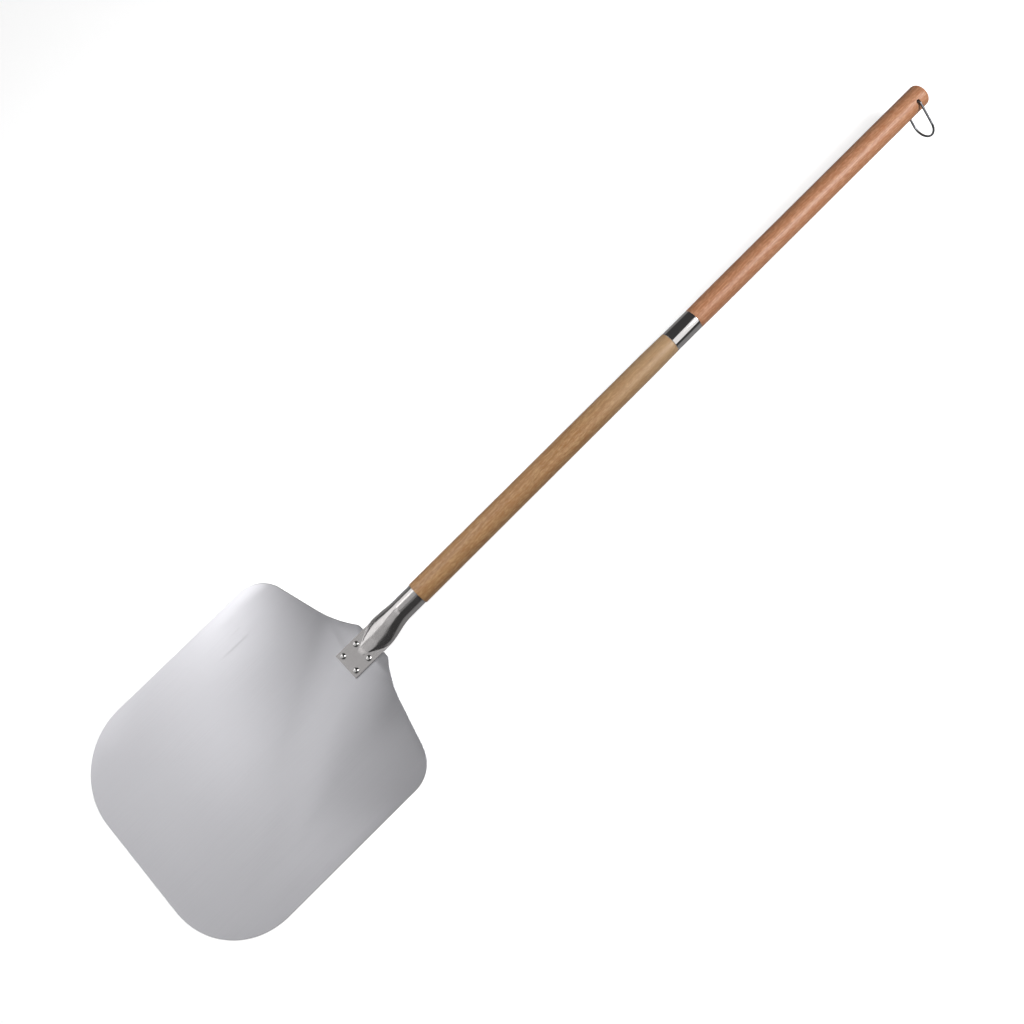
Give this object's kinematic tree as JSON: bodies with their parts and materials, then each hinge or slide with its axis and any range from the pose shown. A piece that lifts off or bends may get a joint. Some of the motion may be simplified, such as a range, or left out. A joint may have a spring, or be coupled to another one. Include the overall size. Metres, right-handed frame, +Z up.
{
  "type": "pizza peel",
  "caption": "Long-handled pizza peel: flat metal blade, riveted socket, screw-together wooden handle with a metal ferrule and a swinging wire hanging loop.",
  "frame": {"origin": "middle of the blade's underside, on the surface that the peel lies on", "axes": "+X from the blade's front edge towards the handle's end, +Z up, +Y to the left when looking along +X"},
  "size_m": [1.2343, 0.305, 0.0564],
  "materials": {
    "blade_aluminium": "satin, finely brushed",
    "polished_steel": "polished",
    "rivet_steel": "polished",
    "fastener_steel": "zinc plated",
    "lower_wood": "satin varnish",
    "upper_wood": "satin varnish",
    "insert_brass": "turned",
    "wire_steel": "drawn wire"
  },
  "bodies": {
    "peel": {"blade": "blade_aluminium", "socket": "polished_steel", "rivet_1": "rivet_steel", "rivet_2": "rivet_steel", "rivet_3": "rivet_steel", "rivet_4": "rivet_steel", "socket_screw": "fastener_steel", "lower_handle": "lower_wood", "ferrule": "polished_steel", "threaded_insert": "insert_brass"},
    "stud": {"threaded_stud": "fastener_steel"},
    "handle": {"upper_handle": "upper_wood"},
    "loop": {"hanging_loop": "wire_steel"}
  },
  "joints": [
    {"name": "handle_withdraw", "type": "slide", "parent": "peel", "child": "stud", "axis": [0.9994, 0, 0.0349], "range_m": [0, 0.0161]},
    {"name": "handle_unscrew", "type": "hinge", "parent": "stud", "child": "handle", "pos_m": [0.2425, 0, 0.0148], "axis": [0.9994, 0, 0.0349], "range_deg": [0, 2880]},
    {"name": "loop_swing", "type": "hinge", "parent": "handle", "child": "loop", "pos_m": [1.04051, 0, 0.04267], "axis": [-0.0291, -0.5519, 0.8334], "range_deg": [-65, 250]}
  ],
  "couplings": [
    {"joint": "handle_withdraw", "follows": "handle_unscrew", "m_per_rad": 0.00031831}
  ]
}
